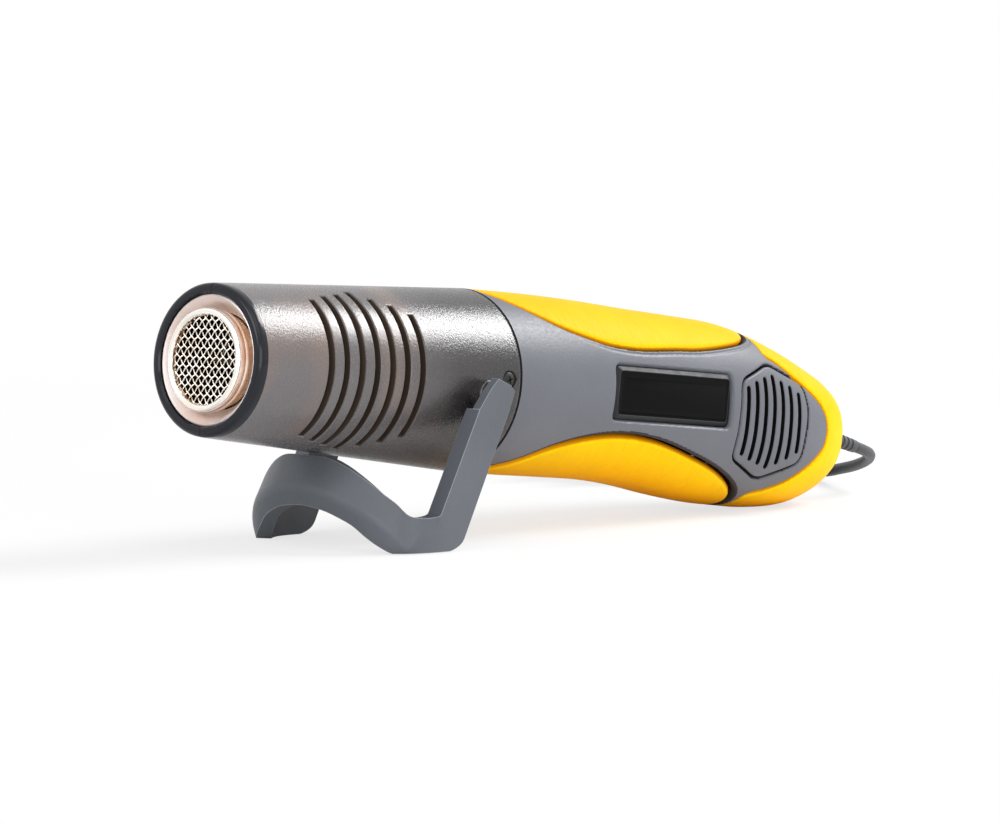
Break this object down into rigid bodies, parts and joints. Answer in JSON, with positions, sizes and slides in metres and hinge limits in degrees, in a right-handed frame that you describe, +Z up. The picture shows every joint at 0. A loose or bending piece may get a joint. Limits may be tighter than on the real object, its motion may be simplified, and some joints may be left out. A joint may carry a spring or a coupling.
{
  "type": "hot air tool",
  "caption": "Hand-held hot air tool with a smoked slotted barrel guard, grey and yellow handle, folding stand, rocker switch and a coiled cord with a flat plug.",
  "frame": {"origin": "centre of the tool's footprint on the table it rests on, measured without the cord", "axes": "+Z up; -X is the way the nozzle points, with the barrel nose up by 5.5 degrees; -Y is the tool's left side, with the plate"},
  "size_m": [0.3094, 0.1274, 0.071],
  "materials": {
    "smoked_guard": "smoked translucent plastic, fine grain, glossy",
    "handle_grey": "satin moulded plastic, fine grain",
    "grip_yellow": "soft overmoulded rubber with short dashes",
    "stand_grey": "satin moulded plastic",
    "gloss_black": "polished black",
    "black_plastic": "moulded plastic",
    "nozzle_steel": "bright, warm tinted",
    "heated_steel": "heat-tinted copper and gold",
    "copper_shield": "copper-brown, dull",
    "steel": "plain steel",
    "mica": "mica board",
    "ceramic": "unglazed ceramic",
    "motor_steel": "plated can",
    "board_green": "lacquered board",
    "cord_grey": "soft cord sheath"
  },
  "bodies": {
    "tool": {"barrel_guard_left": "smoked_guard", "barrel_guard_right": "smoked_guard", "handle_left": "handle_grey", "handle_right": "handle_grey", "vent_panel_left": "handle_grey", "vent_panel_right": "handle_grey", "top_grip": "grip_yellow", "bottom_grip": "grip_yellow", "rear_bumper": "grip_yellow", "name_plate": "gloss_black", "thermal_cutout": "gloss_black", "switch_bezel": "black_plastic", "motor_mount": "black_plastic", "heater_funnel": "black_plastic", "plug_body": "black_plastic", "nozzle_collar": "nozzle_steel", "nozzle_mesh": "nozzle_steel", "reflector_cone": "nozzle_steel", "nozzle_tube": "heated_steel", "heat_shield": "copper_shield", "guard_screw_left": "steel", "guard_screw_right": "steel", "heating_coil": "steel", "plug_pin_left": "steel", "plug_pin_right": "steel", "mica_core": "mica", "rear_insulator": "ceramic", "motor": "motor_steel", "circuit_board": "board_green", "strain_relief": "cord_grey", "cord": "cord_grey", "cord_coil": "cord_grey", "cord_tail": "cord_grey"},
    "rotor": {"fan": "black_plastic", "motor_shaft": "steel"},
    "rocker": {"rocker_switch": "black_plastic"},
    "stand": {"stand": "stand_grey", "stand_pin_left": "steel", "stand_pin_right": "steel"}
  },
  "joints": [
    {"name": "stand_pivot", "type": "hinge", "parent": "tool", "child": "stand", "pos_m": [-0.05414, 0, 0.0404], "axis": [0, 1, 0], "range_deg": [-111, 0]},
    {"name": "fan_spin", "type": "hinge", "parent": "tool", "child": "rotor", "pos_m": [-0.03195, 0, 0.04137], "axis": [0.9954, 0, -0.0962], "continuous": true},
    {"name": "switch_rocker", "type": "hinge", "parent": "tool", "child": "rocker", "pos_m": [0.02628, 0.0185, 0.03574], "axis": [0.0962, 0, 0.9954], "range_deg": [0, 16]}
  ]
}
